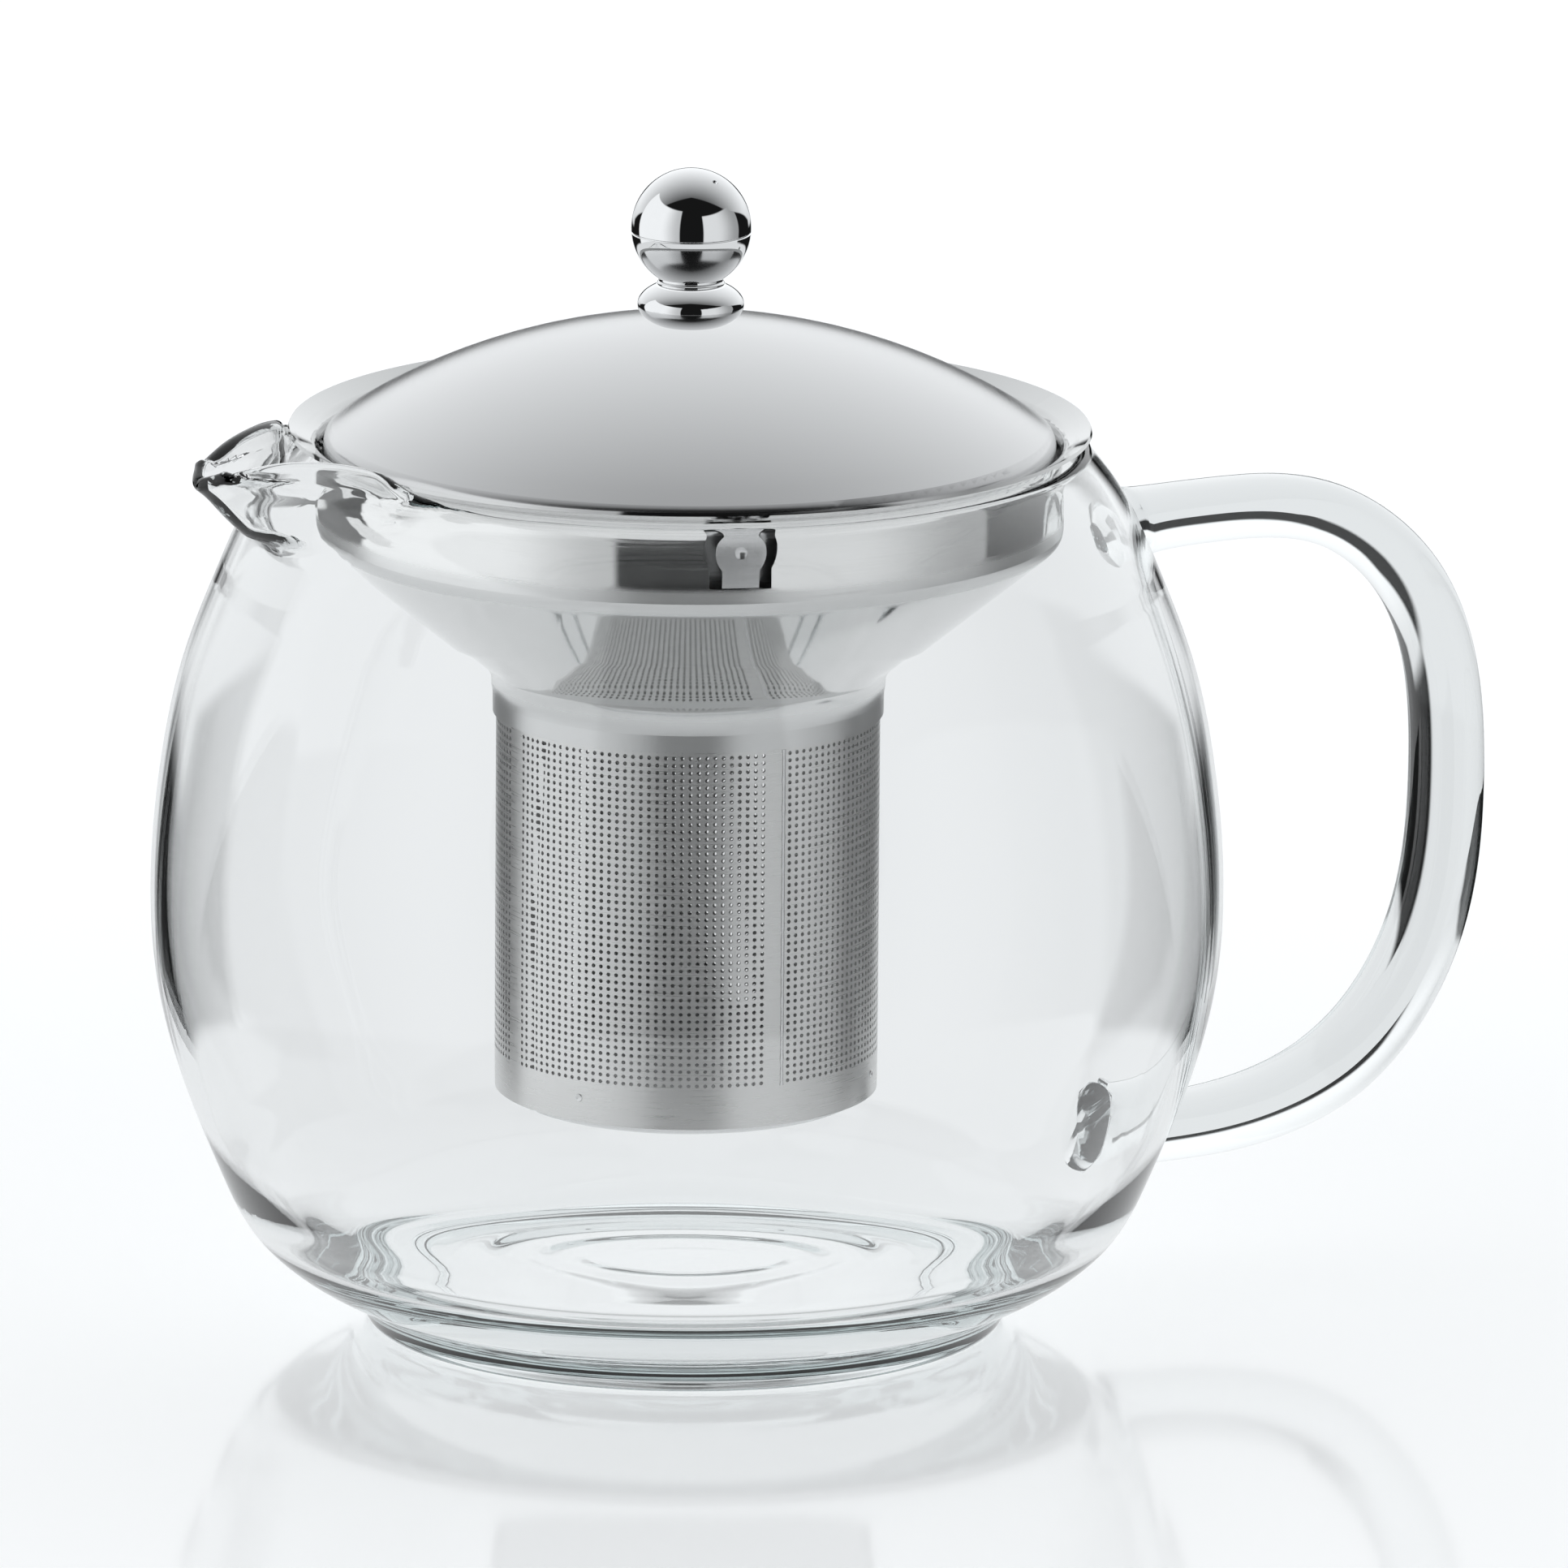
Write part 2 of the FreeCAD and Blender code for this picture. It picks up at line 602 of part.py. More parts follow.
def build():
    outside = pot_outside()
    nodes = {
        "glass_body": glass_body(outside),
        "glass_handle": glass_handle(outside),
        "infuser_funnel": infuser_funnel(),
        "perforated_sleeve": perforated_sleeve(),
        "sleeve_base": sleeve_base(),
        "lid_dome": lid_dome(),
        "lid_locating_ring": lid_locating_ring(),
        "knob_foot": knob_foot(),
        "knob_neck": knob_neck(),
        "knob_lower_shell": knob_lower_shell(),
        "knob_upper_shell": knob_upper_shell(),
        "knob_insert": knob_insert(),
        "lid_washer": lid_washer(),
        "lid_screw": lid_screw(),
    }
    for number, degrees in enumerate(TAB_ANGLES, start=1):
        nodes["spring_tab_%d" % number] = spring_tab(degrees)
    return nodes


os.makedirs("parts", exist_ok=True)
for name, shape in build().items():
    box = shape.BoundBox
    print(name, "valid", shape.isValid(), "solids", len(shape.Solids), "volume %.1f" % shape.Volume,
          "box %.1f %.1f %.1f to %.1f %.1f %.1f" % (box.XMin, box.YMin, box.ZMin,
                                                   box.XMax, box.YMax, box.ZMax))
    shape.exportStep("parts/%s.step" % name)
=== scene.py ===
import math

import bmesh
import bpy
import numpy as np
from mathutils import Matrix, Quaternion, Vector


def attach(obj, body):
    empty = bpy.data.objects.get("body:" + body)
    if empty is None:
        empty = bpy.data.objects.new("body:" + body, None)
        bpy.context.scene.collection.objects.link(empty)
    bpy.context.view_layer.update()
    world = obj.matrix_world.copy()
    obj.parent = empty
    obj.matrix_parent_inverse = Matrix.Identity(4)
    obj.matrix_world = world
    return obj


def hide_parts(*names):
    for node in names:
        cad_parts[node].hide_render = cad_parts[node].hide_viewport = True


# Glass teapot with a drop-in steel infuser and a domed lid.
# The frame is in metres. Shapes below are worked out in millimetres and scaled when they are made.
# The pot's axis is Z, its handle points to +X and its spout to -X.

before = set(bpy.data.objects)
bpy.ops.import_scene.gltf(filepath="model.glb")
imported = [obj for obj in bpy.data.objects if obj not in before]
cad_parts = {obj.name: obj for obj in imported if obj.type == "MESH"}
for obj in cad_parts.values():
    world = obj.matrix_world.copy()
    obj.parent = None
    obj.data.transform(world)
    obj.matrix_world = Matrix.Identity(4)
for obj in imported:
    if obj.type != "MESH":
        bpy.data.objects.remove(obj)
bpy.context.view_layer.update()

MM = 0.001

# ---------------------------------------------------------------- camera

CAMERA_AZIMUTH = math.radians(-24.0)
CAMERA_ELEVATION = math.radians(13.2)
CAMERA_DISTANCE = 3.5
CAMERA_LENS_MM = 574.0
AIM_HEIGHT = 0.0633
CAMERA_ROLL = math.radians(0.42)
AIM_RIGHT = 0.01347
AIM_UP = 0.01295


def camera_axes():
    """Right, up and backward directions of the camera."""
    cos_a, sin_a = math.cos(CAMERA_AZIMUTH), math.sin(CAMERA_AZIMUTH)
    cos_e, sin_e = math.cos(CAMERA_ELEVATION), math.sin(CAMERA_ELEVATION)
    right = Vector((cos_a, sin_a, 0))
    back = Vector((sin_a * cos_e, -cos_a * cos_e, sin_e))
    return right, back.cross(right), back


def make_camera():
    right, up, back = camera_axes()
    aim = Vector((0, 0, AIM_HEIGHT)) + AIM_RIGHT * right + AIM_UP * up
    data = bpy.data.cameras.new("camera")
    data.lens = CAMERA_LENS_MM
    data.clip_end = 200
    camera = bpy.data.objects.new("camera", data)
    camera.location = aim + CAMERA_DISTANCE * back
    camera.rotation_euler = (Quaternion(back, CAMERA_ROLL) @ back.to_track_quat("Z", "Y")).to_euler()
    bpy.context.scene.collection.objects.link(camera)
    bpy.context.scene.camera = camera


# ---------------------------------------------------------------- node helpers

def new_material(name):
    material = bpy.data.materials.new(name)
    material.use_nodes = True
    tree = material.node_tree
    return material, tree, tree.nodes["Principled BSDF"]


def math_node(tree, operation, first, second=0.0):
    """A Math node; each input is a number or another node's output."""
    node = tree.nodes.new("ShaderNodeMath")
    node.operation = operation
    for socket, value in zip(node.inputs, (first, second)):
        if isinstance(value, (int, float)):
            socket.default_value = value
        else:
            tree.links.new(value, socket)
    return node.outputs[0]


def smooth_step(tree, value, low, high, out_low=0.0, out_high=1.0):
    node = tree.nodes.new("ShaderNodeMapRange")
    node.interpolation_type = "SMOOTHSTEP"
    tree.links.new(value, node.inputs["Value"])
    node.inputs["From Min"].default_value = low
    node.inputs["From Max"].default_value = high
    node.inputs["To Min"].default_value = out_low
    node.inputs["To Max"].default_value = out_high
    return node.outputs["Result"]


def window(tree, value, low, high, soft):
    """1 between low and high and 0 outside, with soft edges."""
    rise = smooth_step(tree, value, low - soft, low + soft)
    fall = smooth_step(tree, value, high - soft, high + soft, 1.0, 0.0)
    return math_node(tree, "MULTIPLY", rise, fall)


# ---------------------------------------------------------------- studio

COOL_WHITE = (0.965, 0.985, 1.0, 1.0)
WHITE_ZENITH = 0.40
WHITE_SLOPE = 0.80
WHITE_MOST = 1.18
WHITE_TABLE = 0.87
DARK_ROOM = 0.01
SWEEP_LOWEST = -0.07
SWEEP_LEAN = 0.93
SWEEP_EDGE = (0.63, 0.69)
WING_REACH = 0.3

# Directions in degrees: round from the camera's own side, and up from the horizon.
WING_TOP = 35
LOW_SWEEP = (-9, 8)
BESIDE_AZIMUTH = 140
BESIDE_FALL = (-10, -7)
BAND_AZIMUTH = 163
BAND_RISE = (-8, 3)
GAP_AZIMUTH = 103
TABLE_LINE = -18.0
TABLE_LINE_BESIDE = -21.0
BOX_SOFT = 1.5
BOX_FOOT = -22
LEFT_BOX = (-118, -22)
LEFT_BOX_TOP = 42
LEFT_BOX_LEVEL = 1.12
LEFT_BOX_FADE = (-62, -24, 0.58)
RIGHT_BOX = (24, 103)
RIGHT_BOX_TOP = 32
RIGHT_BOX_LEVEL = 0.88
RIGHT_BOX_FADE = (50, 98, 0.45)


def softbox(tree, around, rise, sides, top, level, fade):
    """A lit patch of the room. Its level falls to a share of itself between two directions."""
    patch = math_node(tree, "MULTIPLY", window(tree, around, *sides, BOX_SOFT),
                      window(tree, rise, BOX_FOOT, top, BOX_SOFT))
    fade_from, fade_to, share = fade
    return math_node(tree, "MULTIPLY", patch,
                     smooth_step(tree, around, fade_from, fade_to, level, share * level))


def make_world():
    """A white sweep behind and overhead, a softbox at each side of the camera, and a dark room."""
    world = bpy.data.worlds.new("studio")
    bpy.context.scene.world = world
    world.use_nodes = True
    tree = world.node_tree
    background = tree.nodes["Background"]
    coords = tree.nodes.new("ShaderNodeTexCoord")
    turn = tree.nodes.new("ShaderNodeVectorRotate")
    turn.rotation_type = "Z_AXIS"
    turn.inputs["Angle"].default_value = -CAMERA_AZIMUTH
    tree.links.new(coords.outputs["Generated"], turn.inputs["Vector"])
    split = tree.nodes.new("ShaderNodeSeparateXYZ")
    tree.links.new(turn.outputs["Vector"], split.inputs["Vector"])
    sideways, away, upward = split.outputs
    toward = math_node(tree, "MULTIPLY", away, -1.0)
    around = math_node(tree, "DEGREES", math_node(tree, "ARCTAN2", sideways, toward))
    rise = math_node(tree, "DEGREES", math_node(tree, "ARCSINE", upward))
    turned = math_node(tree, "ABSOLUTE", around)

    height = math_node(tree, "MAXIMUM", upward, SWEEP_LOWEST)
    reach = math_node(tree, "ADD", height, math_node(tree, "MULTIPLY", away, SWEEP_LEAN))
    wing = math_node(tree, "MULTIPLY", math_node(tree, "ABSOLUTE", sideways),
                     smooth_step(tree, rise, 0, WING_TOP, 0.0, WING_REACH))
    sweep = smooth_step(tree, math_node(tree, "ADD", reach, wing), *SWEEP_EDGE)
    fade = math_node(tree, "ADD", math_node(tree, "MULTIPLY", away, WHITE_SLOPE), WHITE_ZENITH)
    sweep = math_node(tree, "MULTIPLY", sweep, math_node(tree, "MINIMUM", fade, WHITE_MOST))
    low = smooth_step(tree, rise, *LOW_SWEEP, WHITE_TABLE / WHITE_MOST, 1.0)
    sweep = math_node(tree, "MULTIPLY", sweep, low)
    beside = window(tree, turned, BESIDE_AZIMUTH, BAND_AZIMUTH + 1, 2)
    shade = math_node(tree, "MULTIPLY", beside, smooth_step(tree, rise, *BESIDE_FALL, 1.0, 0.0))
    sweep = math_node(tree, "MULTIPLY", sweep, math_node(tree, "SUBTRACT", 1.0, shade))

    left_box = softbox(tree, around, rise, LEFT_BOX, LEFT_BOX_TOP, LEFT_BOX_LEVEL, LEFT_BOX_FADE)
    right_box = softbox(tree, around, rise, RIGHT_BOX, RIGHT_BOX_TOP, RIGHT_BOX_LEVEL, RIGHT_BOX_FADE)
    side_gap = window(tree, turned, GAP_AZIMUTH, BAND_AZIMUTH, 2)
    table_end = smooth_step(tree, side_gap, 0, 1, TABLE_LINE, TABLE_LINE_BESIDE)
    below = math_node(tree, "SUBTRACT", rise, table_end)
    table = smooth_step(tree, below, -1, 1, WHITE_TABLE, 0.0)

    total = math_node(tree, "MAXIMUM", sweep, left_box)
    total = math_node(tree, "MAXIMUM", total, right_box)
    total = math_node(tree, "MAXIMUM", total, table)
    band = math_node(tree, "MULTIPLY", smooth_step(tree, turned, BAND_AZIMUTH - 2, BAND_AZIMUTH + 2),
                     window(tree, rise, *BAND_RISE, 1.5))
    total = math_node(tree, "MULTIPLY", total, math_node(tree, "SUBTRACT", 1.0, band))
    total = math_node(tree, "MAXIMUM", total, DARK_ROOM)
    tree.links.new(total, background.inputs["Strength"])
    background.inputs["Color"].default_value = COOL_WHITE


def flat_card(name, corners, height, color, gloss, emission):
    """A level stage surface, its corners given sideways and away from the camera."""
    right = Vector((math.cos(CAMERA_AZIMUTH), math.sin(CAMERA_AZIMUTH), 0))
    away = Vector((-math.sin(CAMERA_AZIMUTH), math.cos(CAMERA_AZIMUTH), 0))
    points = [x * right + y * away + Vector((0, 0, height)) for x, y in corners]
    mesh = bpy.data.meshes.new(name)
    mesh.from_pydata([tuple(p) for p in points], [], [tuple(range(len(points)))])
    card = bpy.data.objects.new(name, mesh)
    bpy.context.scene.collection.objects.link(card)
    material, _, shader = new_material(name)
    shader.inputs["Base Color"].default_value = (color, color, color, 1)
    shader.inputs["Roughness"].default_value = FLOOR_ROUGHNESS
    shader.inputs["IOR"].default_value = FLOOR_IOR
    shader.inputs["Specular IOR Level"].default_value = gloss
    shader.inputs["Emission Color"].default_value = COOL_WHITE
    shader.inputs["Emission Strength"].default_value = emission
    mesh.materials.append(material)
    card.visible_shadow = False
    return card


FLOOR_HALF = 40.0
FLOOR_HEIGHT = -0.0001
FLOOR_COLOR = 0.86
FLOOR_GLOSS = 0.5
FLOOR_ROUGHNESS = 0.08
FLOOR_IOR = 1.36
FLOOR_GLOW = 0.40
FLOOR_GLOW_IN_PAINTED_SHADOW = 0.33
PAINTED_SHADOW_RADII = (0.05, 0.35)
TABLE_HEIGHT = -0.0002
TABLE_SIDE = 0.125
TABLE_NEAR = -0.10
TABLE_FAR = 1.02


def make_floor():
    """The camera sees a wide pale floor with a painted shadow round the pot; the glass and steel see a
    table top of real size.
    """
    half = FLOOR_HALF
    floor = flat_card("floor", [(-half, -half), (half, -half), (half, half), (-half, half)],
                      FLOOR_HEIGHT, FLOOR_COLOR, FLOOR_GLOSS, FLOOR_GLOW)
    tree = floor.data.materials[0].node_tree
    place = texture_coordinates(tree, (1, 1, 1))
    distance = tree.nodes.new("ShaderNodeVectorMath")
    distance.operation = "LENGTH"
    tree.links.new(place, distance.inputs[0])
    # Painted shadow: the floor glows less within a few centimetres of the pot and reaches its full glow
    # 0.35 m out.
    glow_with_painted_shadow = smooth_step(tree, distance.outputs["Value"], *PAINTED_SHADOW_RADII, FLOOR_GLOW_IN_PAINTED_SHADOW, FLOOR_GLOW)
    tree.links.new(glow_with_painted_shadow, tree.nodes["Principled BSDF"].inputs["Emission Strength"])
    floor.visible_diffuse = False
    floor.visible_glossy = False
    floor.visible_transmission = False
    corners = [(-TABLE_SIDE, TABLE_NEAR), (TABLE_SIDE, TABLE_NEAR), (TABLE_SIDE, TABLE_FAR),
               (-TABLE_SIDE, TABLE_FAR)]
    table = flat_card("table_top", corners, TABLE_HEIGHT, 0.0, 0.0, WHITE_TABLE)
    table.visible_camera = False
    table.visible_diffuse = False


# ---------------------------------------------------------------- materials

def texture_coordinates(tree, scale):
    """Object coordinates stretched by scale along x, y and z."""
    coords = tree.nodes.new("ShaderNodeTexCoord")
    mapping = tree.nodes.new("ShaderNodeMapping")
    mapping.inputs["Scale"].default_value = scale
    tree.links.new(coords.outputs["Object"], mapping.inputs["Vector"])
    return mapping.outputs["Vector"]


def turned_coordinates(tree, around_scale, radius_scale, height_scale):
    """Coordinates for marks left by turning: angle round Z, radius and height, each scaled."""
    coords = tree.nodes.new("ShaderNodeTexCoord")
    split = tree.nodes.new("ShaderNodeSeparateXYZ")
    tree.links.new(coords.outputs["Object"], split.inputs["Vector"])
    x, y, z = split.outputs
    squares = math_node(tree, "ADD", math_node(tree, "MULTIPLY", x, x),
                        math_node(tree, "MULTIPLY", y, y))
    radius = math_node(tree, "SQRT", squares)
    angle = math_node(tree, "ARCTAN2", y, x)
    join = tree.nodes.new("ShaderNodeCombineXYZ")
    tree.links.new(math_node(tree, "MULTIPLY", angle, around_scale), join.inputs[0])
    tree.links.new(math_node(tree, "MULTIPLY", radius, radius_scale), join.inputs[1])
    tree.links.new(math_node(tree, "MULTIPLY", z, height_scale), join.inputs[2])
    return join.outputs["Vector"]


def noise(tree, vector, scale=1.0, detail=2.0):
    node = tree.nodes.new("ShaderNodeTexNoise")
    node.inputs["Scale"].default_value = scale
    node.inputs["Detail"].default_value = detail
    tree.links.new(vector, node.inputs["Vector"])
    return node.outputs["Fac"]


def bump(tree, shader, height, strength, distance):
    node = tree.nodes.new("ShaderNodeBump")
    node.inputs["Strength"].default_value = strength
    node.inputs["Distance"].default_value = distance
    tree.links.new(height, node.inputs["Height"])
    tree.links.new(node.outputs["Normal"], shader.inputs["Normal"])


def color_between(tree, factor, dark, light):
    node = tree.nodes.new("ShaderNodeMix")
    node.data_type = "RGBA"
    node.inputs["A"].default_value = (*dark, 1)
    node.inputs["B"].default_value = (*light, 1)
    tree.links.new(factor, node.inputs["Factor"])
    return node.outputs["Result"]


GLASS_IOR = 1.473
GLASS_TINT = (0.905, 0.924, 0.925)
GLASS_DENSITY = 80.0


def glass_material():
    """Clear borosilicate glass. Long paths through it turn grey-green, as at its edges."""
    material, tree, shader = new_material("clear_glass")
    shader.inputs["Base Color"].default_value = (1, 1, 1, 1)
    shader.inputs["Roughness"].default_value = 0.0
    shader.inputs["IOR"].default_value = GLASS_IOR
    shader.inputs["Transmission Weight"].default_value = 1.0
    output = tree.nodes["Material Output"]
    clear = tree.nodes.new("ShaderNodeBsdfTransparent")
    light_path = tree.nodes.new("ShaderNodeLightPath")
    mix = tree.nodes.new("ShaderNodeMixShader")
    tree.links.new(light_path.outputs["Is Shadow Ray"], mix.inputs[0])
    tree.links.new(shader.outputs[0], mix.inputs[1])
    tree.links.new(clear.outputs[0], mix.inputs[2])
    tree.links.new(mix.outputs[0], output.inputs["Surface"])
    absorption = tree.nodes.new("ShaderNodeVolumeAbsorption")
    absorption.inputs["Color"].default_value = (*GLASS_TINT, 1)
    absorption.inputs["Density"].default_value = GLASS_DENSITY
    tree.links.new(absorption.outputs[0], output.inputs["Volume"])
    return material


def steel_material(name, dark, light, roughness, spread, grain, strength, distance):
    """Stainless steel with turning or rolling marks: grain makes their coordinates in a tree."""
    material, tree, shader = new_material(name)
    marks = noise(tree, grain(tree), detail=3.0)
    shader.inputs["Metallic"].default_value = 1.0
    tree.links.new(color_between(tree, marks, dark, light), shader.inputs["Base Color"])
    low, high = roughness - spread, roughness + spread
    tree.links.new(smooth_step(tree, marks, 0.25, 0.75, low, high), shader.inputs["Roughness"])
    bump(tree, shader, marks, strength, distance)
    return material


def turned_grain(tree):
    return turned_coordinates(tree, 6.0, 4000.0, 4000.0)


def rolled_grain(tree):
    return turned_coordinates(tree, 3.0, 0.0, 6000.0)


def satin_steel():
    return steel_material("satin_steel", (0.62, 0.622, 0.625), (0.65, 0.652, 0.655),
                          0.22, 0.02, turned_grain, 0.02, 0.000003)


# Heights on the funnel, in metres, between which its finish and its painted shade change.
SKIRT_EDGE = (0.0905, 0.0955)
COLLAR_EDGE = (0.1115, 0.1135)
COLLAR_FOOT = (0.1118, 0.1158)
COLLAR_FOOT_SOFT = 0.0007
CONE_EDGE = (0.1120, 0.1170)
FLANGE_EDGE = (0.1240, 0.1262)
STREAK_EDGE = (0.56, 0.70)
POLISHED_ROUGHNESS = 0.045
STREAK_ROUGHNESS = 0.14
SATIN_ROUGHNESS = 0.26
FINE_ROUGHNESS = 0.02
CONE_SHADE = 0.85
SHADE_MOST = 0.8
SHADED_STEEL = (0.55, 0.555, 0.555, 1)


def funnel_steel():
    """Bright collar with streaks from turning, a mirror-like cone and a satin skirt below it; painted
    shade darkens the colour of the cone, the flange and the skirt.
    """
    material, tree, shader = new_material("polished_steel")
    shader.inputs["Metallic"].default_value = 1.0
    coords = tree.nodes.new("ShaderNodeTexCoord")
    split = tree.nodes.new("ShaderNodeSeparateXYZ")
    tree.links.new(coords.outputs["Object"], split.inputs["Vector"])
    height = split.outputs["Z"]
    streaks = noise(tree, turned_coordinates(tree, 2.2, 0.0, 1400.0), detail=5.0)
    fine = noise(tree, turned_coordinates(tree, 3.0, 0.0, 9000.0), detail=3.0)
    on_collar = smooth_step(tree, height, *COLLAR_EDGE)
    on_skirt = smooth_step(tree, height, *SKIRT_EDGE, 1.0, 0.0)
    streaky = math_node(tree, "MULTIPLY", on_collar, smooth_step(tree, streaks, *STREAK_EDGE))
    rough = math_node(tree, "ADD", POLISHED_ROUGHNESS,
                      math_node(tree, "MULTIPLY", streaky, STREAK_ROUGHNESS))
    rough = math_node(tree, "ADD", rough, math_node(tree, "MULTIPLY", on_skirt, SATIN_ROUGHNESS))
    collar_foot = window(tree, height, *COLLAR_FOOT, COLLAR_FOOT_SOFT)
    rough = math_node(tree, "ADD", rough, math_node(tree, "MULTIPLY", collar_foot, SATIN_ROUGHNESS))
    rough = math_node(tree, "ADD", rough, math_node(tree, "MULTIPLY", fine, FINE_ROUGHNESS))
    tree.links.new(rough, shader.inputs["Roughness"])
    # Painted shade: the steel colour is darkened on the cone below the collar, on the flange and on the
    # satin skirt.
    on_flange = smooth_step(tree, height, *FLANGE_EDGE)
    on_cone = smooth_step(tree, height, *CONE_EDGE, CONE_SHADE, 0.0)
    painted_shade = math_node(tree, "MAXIMUM", on_skirt, on_flange)
    painted_shade = math_node(tree, "MAXIMUM", painted_shade, on_cone)
    painted_shade = math_node(tree, "MULTIPLY", painted_shade, SHADE_MOST)
    bright = color_between(tree, fine, (0.79, 0.79, 0.785), (0.85, 0.85, 0.845))
    mix = tree.nodes.new("ShaderNodeMix")
    mix.data_type = "RGBA"
    mix.inputs["B"].default_value = SHADED_STEEL
    tree.links.new(painted_shade, mix.inputs["Factor"])
    tree.links.new(bright, mix.inputs["A"])
    tree.links.new(mix.outputs["Result"], shader.inputs["Base Color"])
    bump(tree, shader, fine, 0.04, 0.000003)
    return material


def sleeve_steel():
    return steel_material("sleeve_steel", (0.56, 0.56, 0.555), (0.66, 0.66, 0.655),
                          0.31, 0.05, rolled_grain, 0.06, 0.000004)


def mirror_steel():
    def grain(tree):
        return texture_coordinates(tree, (900, 900, 900))
    return steel_material("mirror_steel", (0.78, 0.785, 0.79), (0.81, 0.815, 0.82),
                          0.012, 0.008, grain, 0.01, 0.000001)


# ---------------------------------------------------------------- mesh helpers

def cubic_line(points, spacing):
    """Points about spacing apart on a smooth curve through the given points."""
    knots = np.array(points, float)
    along = np.concatenate([[0], np.cumsum(np.linalg.norm(np.diff(knots, axis=0), axis=1))])
    count = len(knots)
    gaps = np.diff(along)
    matrix = np.zeros((count, count))
    right = np.zeros((count, knots.shape[1]))
    matrix[0, 0] = matrix[-1, -1] = 1
    for i in range(1, count - 1):
        matrix[i, i - 1] = gaps[i - 1]
        matrix[i, i] = 2 * (gaps[i - 1] + gaps[i])
        matrix[i, i + 1] = gaps[i]
        right[i] = 6 * ((knots[i + 1] - knots[i]) / gaps[i] - (knots[i] - knots[i - 1]) / gaps[i - 1])
    bend = np.linalg.solve(matrix, right)
    steps = max(2, int(round(along[-1] / spacing)) + 1)
    where = np.linspace(0, along[-1], steps)
    cell = np.clip(np.searchsorted(along, where, side="right") - 1, 0, count - 2)
    width = gaps[cell][:, None]
    ahead = (along[cell + 1] - where)[:, None]
    behind = (where - along[cell])[:, None]
    curve = bend[cell] * ahead ** 3 / (6 * width) + bend[cell + 1] * behind ** 3 / (6 * width)
    curve += (knots[cell] / width - bend[cell] * width / 6) * ahead
    curve += (knots[cell + 1] / width - bend[cell + 1] * width / 6) * behind
    return curve


def smooth(value, low, high):
    """0 below low, 1 above high and an even S between them."""
    t = np.clip((np.asarray(value, float) - low) / (high - low), 0, 1)
    return t * t * (3 - 2 * t)


def mesh_object(name, points, faces, sharp_deg=None):
    """An object from points in millimetres and faces, smooth except at edges over sharp_deg."""
    mesh = bpy.data.meshes.new(name)
    mesh.from_pydata((np.asarray(points, float) * MM).tolist(), [], faces)
    mesh.validate()
    mesh.update()
    mesh.shade_smooth()
    if sharp_deg is not None:
        mesh.set_sharp_from_angle(angle=math.radians(sharp_deg))
    piece = bpy.data.objects.new(name, mesh)
    bpy.context.scene.collection.objects.link(piece)
    return piece


def finish_piece(piece, body, material, slot, *nodes):
    piece.data.materials.clear()
    piece.data.materials.append(material)
    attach(piece, body)
    if nodes:
        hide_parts(*nodes)
    return piece


def ring_faces(rows, columns):
    """Quads over a grid of rows by columns whose columns run round and close."""
    index = np.arange(rows * columns).reshape(rows, columns)
    here, above = index[:-1], index[1:]
    quads = np.stack([here, np.roll(here, -1, axis=1), np.roll(above, -1, axis=1), above], axis=-1)
    return quads.reshape(-1, 4).tolist()


def cap_ends(faces, count, sides):
    """Closes the first and the last ring of count points that stand sides to a ring."""
    faces.append(list(range(sides))[::-1])
    faces.append([count - sides + k for k in range(sides)])


# ---------------------------------------------------------------- glass pot

RIM_TOP = 125.7
SHOULDER_Z = 108.0
FLANGE_CLEAR_R = 56.7
SPOUT_LENGTH = 19.4
SPOUT_START_Z = 114.0
SPOUT_FULL_Z = 125.3
SPOUT_SHAPE = 1.18
SPOUT_WIDTH_DEG = 10.4
SPOUT_THROAT_DEG = 4.5
SPOUT_NOSE_DEG = 1.0
SPOUT_OVERRUN = 1.1
LIP_RAISED_R = 58.9
LIP_SIDES_DEG = (22, 33)
LEAN_Z = (122, 126)
WALL = 2.2
FOOT_SPACING = 0.5
BODY_SPACING = 1.25
INSIDE_SPACING = 1.2
SHOULDER_ROWS = 34
SHOULDER_CROWDING = 1.2
EDGE_ROWS = 11
FLOOR_RING_RADII = (5.0, 9.5)

FLOOR_Z = 7.5
UNDERSIDE_Z = 2.6

FOOT_OUTLINE = [
    (14.0, UNDERSIDE_Z), (18.0, 2.85), (21.0, UNDERSIDE_Z), (25.0, 2.85), (28.5, 2.5), (33.0, 2.5),
    (36.0, 2.1), (38.2, 1.3), (39.0, 0.35), (39.9, 0.0), (43.0, 0.0),
    (44.5, 0.5), (45.1, 1.6), (45.6, 2.6), (46.5, 3.8), (48.2, 4.9),
]
BODY_OUTLINE = [
    (48.2, 4.9), (51.8, 6.6), (56.6, 9.6), (61.2, 14.0), (65.4, 22.0), (70.6, 35.0), (74.2, 49.0),
    (75.1, 62.5), (73.8, 79.0), (70.6, 94.3), (65.7, 107.3), (61.8, 116.0), (59.2, 120.2),
    (57.3, 122.6), (56.2, 124.2), (55.7, 126.0),
]
INSIDE_OUTLINE = [
    (14.0, 7.6), (24.0, 8.0), (34.0, 8.8), (44.0, 10.1), (52.0, 11.7), (56.2, 13.0), (58.6, 15.1),
    (60.5, 18.2), (63.1, 22.9), (68.35, 35.7), (71.9, 49.3), (72.8, 62.4), (71.5, 78.6),
    (68.4, 93.5), (63.6, 106.3),
]
LIP_HEIGHTS = [
    (0, 125.6), (2.5, 126.3), (5.0, 127.5), (9.0, 129.5), (13.0, 130.1), (17.0, 129.8), (21.0, 128.7),
    (25.0, 127.2), (29.0, 126.1), (33.0, RIM_TOP), (40.0, RIM_TOP),
]


# Degrees from the spout: where each stretch of columns begins and ends, and its step.
COLUMN_STEPS = [(0.35, 6, 0.35), (6, 16, 0.6), (16, 50, 1.4), (50, 168, 2.0), (168, 180, 0.75)]


